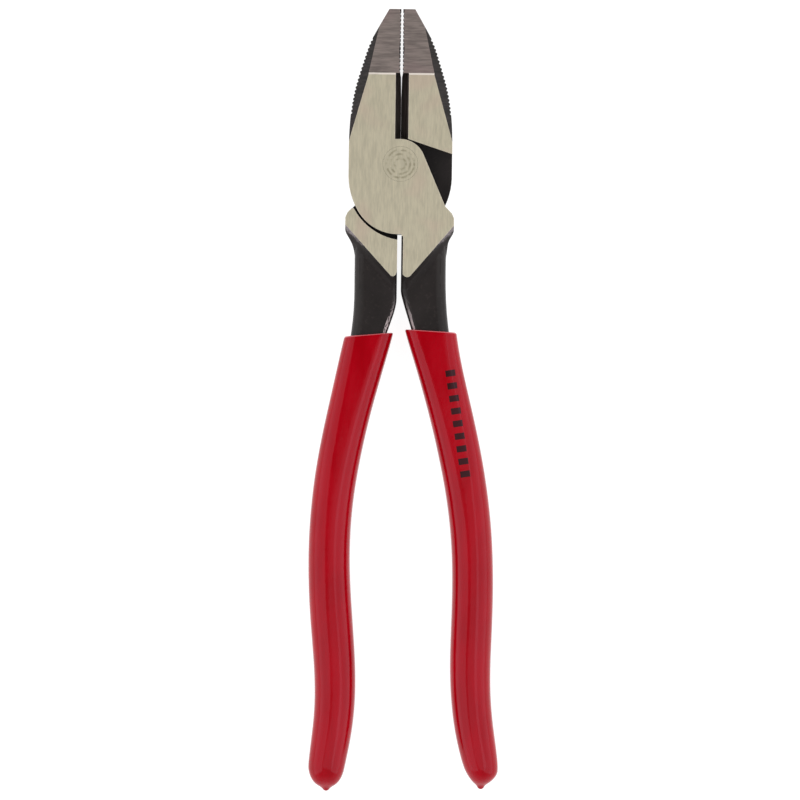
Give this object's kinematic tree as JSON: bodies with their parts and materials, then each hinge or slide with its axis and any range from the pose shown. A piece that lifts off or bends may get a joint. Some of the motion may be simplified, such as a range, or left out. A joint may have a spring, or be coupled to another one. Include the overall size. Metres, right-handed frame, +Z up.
{
  "type": "lineman pliers",
  "caption": "High-leverage lineman pliers with crossed-tooth jaws, a side cutter and red dipped vinyl grips, lying flat with the jaws slightly open.",
  "frame": {"origin": "centre of the pivot on the head's lower ground face", "axes": "+Z up along the pivot; +Y along the jaws towards the tips; +X to the right seen from above"},
  "size_m": [0.0587, 0.2385, 0.0154],
  "materials": {
    "ground_steel": "satin",
    "rivet_steel": "satin",
    "red_vinyl": "gloss"
  },
  "bodies": {
    "back_lever": {"back_half": "ground_steel", "pivot_rivet": "rivet_steel", "left_grip": "red_vinyl"},
    "front_lever": {"front_half": "ground_steel", "right_grip": "red_vinyl"}
  },
  "joints": [
    {"name": "jaw_pivot", "type": "hinge", "parent": "back_lever", "child": "front_lever", "pos_m": [0, 0, 0], "axis": [0, 0, 1], "range_deg": [0, 47]}
  ]
}
